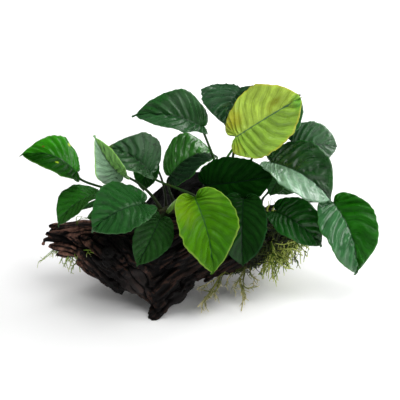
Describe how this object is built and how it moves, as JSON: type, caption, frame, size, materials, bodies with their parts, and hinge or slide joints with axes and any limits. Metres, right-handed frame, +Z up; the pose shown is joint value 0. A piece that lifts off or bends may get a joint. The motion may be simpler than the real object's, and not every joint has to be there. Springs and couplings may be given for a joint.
{
  "type": "anubias on driftwood",
  "caption": "Broad-leaved anubias grown onto a forked piece of dark driftwood, with moss and hanging roots, for an aquarium",
  "frame": {"origin": "on the ground, under the centre of the whole plant and wood", "axes": "+X to the right end of the wood, -Y to the front with the wood's front foot, +Z up"},
  "size_m": [0.2885, 0.153, 0.1851],
  "materials": {
    "leaf": "satin",
    "leaf_bright": "satin",
    "leaf_yellow": "satin",
    "young_leaf": "satin",
    "stalk": "satin",
    "rhizome": "matte",
    "driftwood": "matte",
    "moss": "matte",
    "roots": "matte"
  },
  "bodies": {
    "root": {"leaf_above_right": "leaf", "leaf_back_right": "leaf", "leaf_behind_yellow": "leaf", "leaf_centre_dark": "leaf", "leaf_centre_left": "leaf", "leaf_far_left": "leaf", "leaf_far_right": "leaf", "leaf_front_centre": "leaf_bright", "leaf_front_dark": "leaf", "leaf_front_left": "leaf", "leaf_front_right": "leaf", "leaf_grey_right": "leaf", "leaf_little_left": "leaf", "leaf_little_low": "leaf", "leaf_low_front": "leaf", "leaf_low_left": "leaf", "leaf_small_left": "leaf", "leaf_top_back": "leaf", "leaf_top_left": "leaf", "leaf_under_grey": "leaf", "leaf_upper_left": "leaf", "leaf_upright": "leaf", "leaf_yellow_top": "leaf_yellow", "moss_fringe_right": "moss", "moss_left": "moss", "moss_right": "moss", "rhizome": "rhizome", "roots_centre": "roots", "roots_right": "roots", "stalk_above_right": "stalk", "stalk_back_right": "stalk", "stalk_behind_yellow": "stalk", "stalk_centre_dark": "stalk", "stalk_centre_left": "stalk", "stalk_far_left": "stalk", "stalk_far_right": "stalk", "stalk_front_centre": "stalk", "stalk_front_dark": "stalk", "stalk_front_left": "stalk", "stalk_front_right": "stalk", "stalk_grey_right": "stalk", "stalk_little_left": "stalk", "stalk_little_low": "stalk", "stalk_low_front": "stalk", "stalk_low_left": "stalk", "stalk_small_left": "stalk", "stalk_top_back": "stalk", "stalk_top_left": "stalk", "stalk_under_grey": "stalk", "stalk_upper_left": "stalk", "stalk_upright": "stalk", "stalk_yellow_top": "stalk", "wood_front_foot": "driftwood", "wood_left_limb": "driftwood", "wood_rear_root_left": "driftwood", "wood_rear_root_right": "driftwood", "wood_right_limb": "driftwood", "wood_trunk": "driftwood", "wood_upper_arm": "driftwood", "young_leaf": "young_leaf"}
  },
  "joints": []
}
